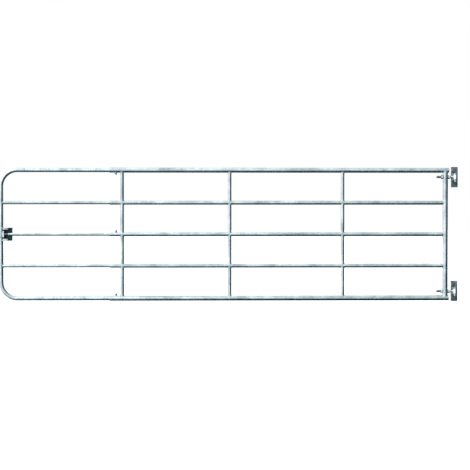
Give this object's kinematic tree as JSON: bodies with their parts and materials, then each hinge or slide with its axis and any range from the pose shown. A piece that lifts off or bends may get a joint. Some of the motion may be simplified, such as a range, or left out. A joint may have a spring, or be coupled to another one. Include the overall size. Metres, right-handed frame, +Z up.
{
  "type": "livestock panel gate",
  "caption": "Telescopic tubular field gate: a front frame with rounded corners slides in a railed rear frame that swings on two eye-bolt hinges, with a spring bolt latch.",
  "frame": {"origin": "centre of the lower hinge plate, on the face that lies on the post, level with the lower eye bolt", "axes": "+X along the closed gate towards the hinges, +Y into the post (the gate opens towards -Y), +Z up"},
  "size_m": [3.8272, 0.157, 1.1176],
  "materials": {
    "galvanised": "hot-dip galvanised steel, matt bluish grey with a faint spangle",
    "plated_steel": "zinc-plated steel fastener finish, a little brighter and smoother than the tubes",
    "spring_steel": "plain oiled spring steel wire",
    "nylon": "natural nylon, turned"
  },
  "bodies": {
    "post_fittings": {"hinge_plate_bottom": "galvanised", "hinge_plate_top": "galvanised", "hinge_lugs_bottom": "galvanised", "hinge_lugs_top": "galvanised", "hinge_pin_bottom": "plated_steel", "hinge_pin_top": "plated_steel", "pin_washers": "plated_steel", "split_pins": "plated_steel", "plate_screws": "plated_steel"},
    "outer_frame": {"top_rail": "galvanised", "upper_rail": "galvanised", "centre_rail": "galvanised", "lower_rail": "galvanised", "bottom_rail": "galvanised", "hinge_upright": "galvanised", "rear_upright": "galvanised", "middle_upright": "galvanised", "front_upright": "galvanised", "rail_caps": "galvanised", "eye_bolt_bottom": "plated_steel", "eye_bolt_top": "plated_steel", "eye_bolt_nuts": "plated_steel", "clamp_nuts": "galvanised"},
    "inner_frame": {"front_loop": "galvanised", "upper_inner_rail": "galvanised", "centre_inner_rail": "galvanised", "lower_inner_rail": "galvanised", "latch_box": "galvanised", "latch_doubler": "galvanised", "latch_bush": "nylon", "latch_spring": "spring_steel"},
    "latch": {"latch_bolt": "plated_steel", "latch_handle": "plated_steel", "handle_screw": "plated_steel"},
    "top_clamp": {"clamp_screw_top": "plated_steel"},
    "centre_clamp": {"clamp_screw_centre": "plated_steel"},
    "bottom_clamp": {"clamp_screw_bottom": "plated_steel"}
  },
  "joints": [
    {"name": "gate_swing", "type": "hinge", "parent": "post_fittings", "child": "outer_frame", "pos_m": [0, -0.042, 0], "axis": [0, 0, 1], "range_deg": [0, 180]},
    {"name": "frame_slide", "type": "slide", "parent": "outer_frame", "child": "inner_frame", "axis": [-1, 0, 0], "range_m": [-0.72, 0.28]},
    {"name": "bolt_draw", "type": "slide", "parent": "inner_frame", "child": "latch", "axis": [1, 0, 0], "range_m": [0, 0.026], "stiffness_N_per_m": 600, "springref_m": -0.02, "deforming": ["latch_spring"]},
    {"name": "top_clamp_release", "type": "slide", "parent": "outer_frame", "child": "top_clamp", "axis": [0, 0, -1], "range_m": [0, 0.008]},
    {"name": "centre_clamp_release", "type": "slide", "parent": "outer_frame", "child": "centre_clamp", "axis": [0, 0, 1], "range_m": [0, 0.008]},
    {"name": "bottom_clamp_release", "type": "slide", "parent": "outer_frame", "child": "bottom_clamp", "axis": [0, 0, 1], "range_m": [0, 0.008]}
  ]
}
